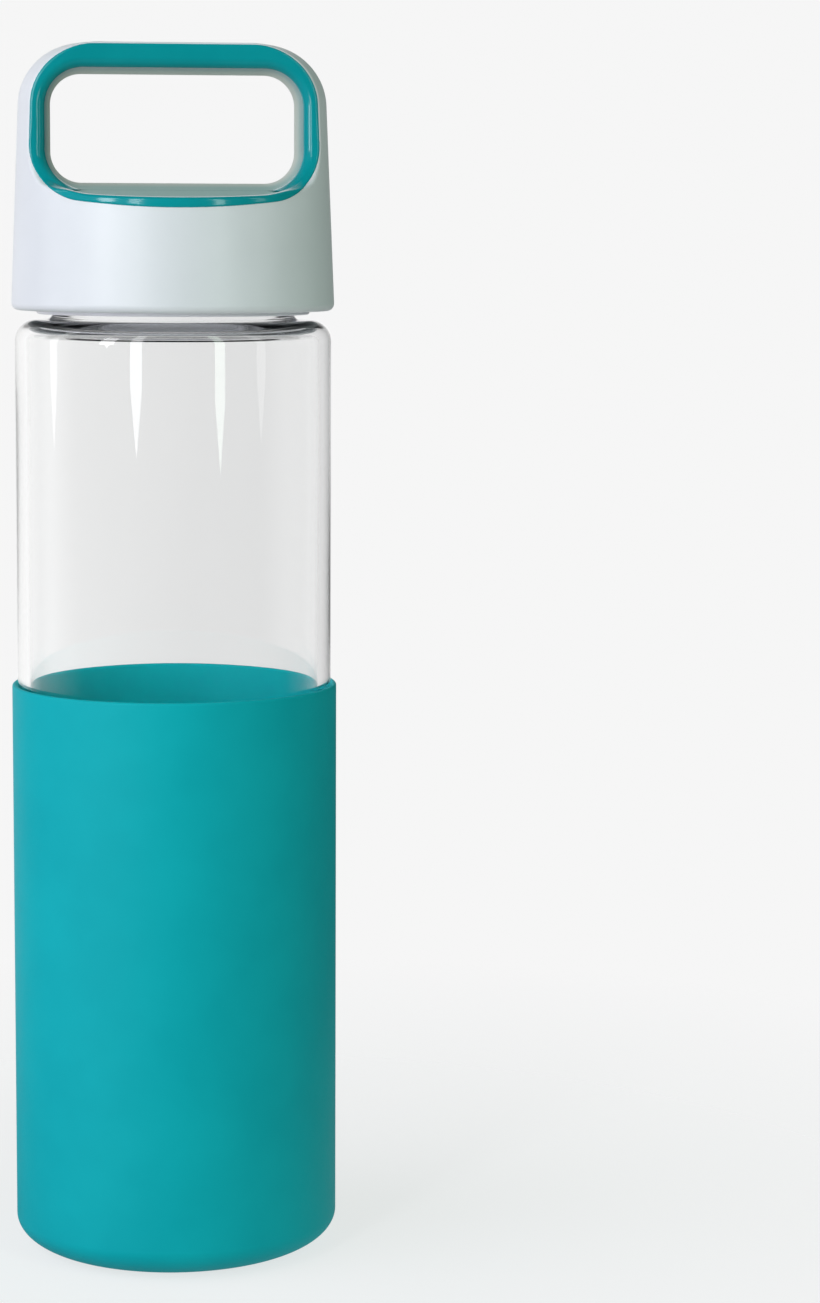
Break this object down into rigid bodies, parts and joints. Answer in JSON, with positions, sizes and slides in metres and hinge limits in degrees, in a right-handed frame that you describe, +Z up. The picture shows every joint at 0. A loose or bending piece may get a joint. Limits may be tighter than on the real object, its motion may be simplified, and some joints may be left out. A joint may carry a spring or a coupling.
{
  "type": "glass water bottle",
  "caption": "Glass water bottle in a removable silicone sleeve, with a threaded screw lid whose top forms a carry loop edged by coloured trim.",
  "frame": {"origin": "centre of the face that the bottle stands on, on the bottle's axis", "axes": "+Z up along the bottle's axis; X across the carry loop's opening; the front of the loop faces -Y"},
  "size_m": [0.07, 0.07, 0.2599],
  "materials": {
    "teal_silicone": "matt moulded silicone",
    "clear_glass": "clear polished",
    "clear_silicone": "translucent silicone",
    "liner_plastic": "satin moulded plastic",
    "lid_plastic": "pearly satin moulded plastic",
    "teal_plastic": "semi-gloss moulded plastic"
  },
  "bodies": {
    "sleeve": {"silicone_sleeve": "teal_silicone"},
    "bottle": {"glass_bottle": "clear_glass"},
    "seal": {"lid_gasket": "clear_silicone"},
    "lid": {"lid_liner": "liner_plastic", "lid_shell": "lid_plastic", "trim_ring_front": "teal_plastic", "trim_ring_back": "teal_plastic"}
  },
  "joints": [
    {"name": "bottle_lift", "type": "slide", "parent": "sleeve", "child": "bottle", "axis": [0, 0, 1], "range_m": [0, 0.13]},
    {"name": "lid_lift", "type": "slide", "parent": "bottle", "child": "seal", "axis": [0, 0, 1], "range_m": [0, 0.0301]},
    {"name": "lid_turn", "type": "hinge", "parent": "seal", "child": "lid", "pos_m": [0, 0, 0.2125], "axis": [0, 0, 1], "range_deg": [0, 2160]}
  ],
  "couplings": [
    {"joint": "lid_lift", "follows": "lid_turn", "m_per_rad": 0.00079577}
  ]
}
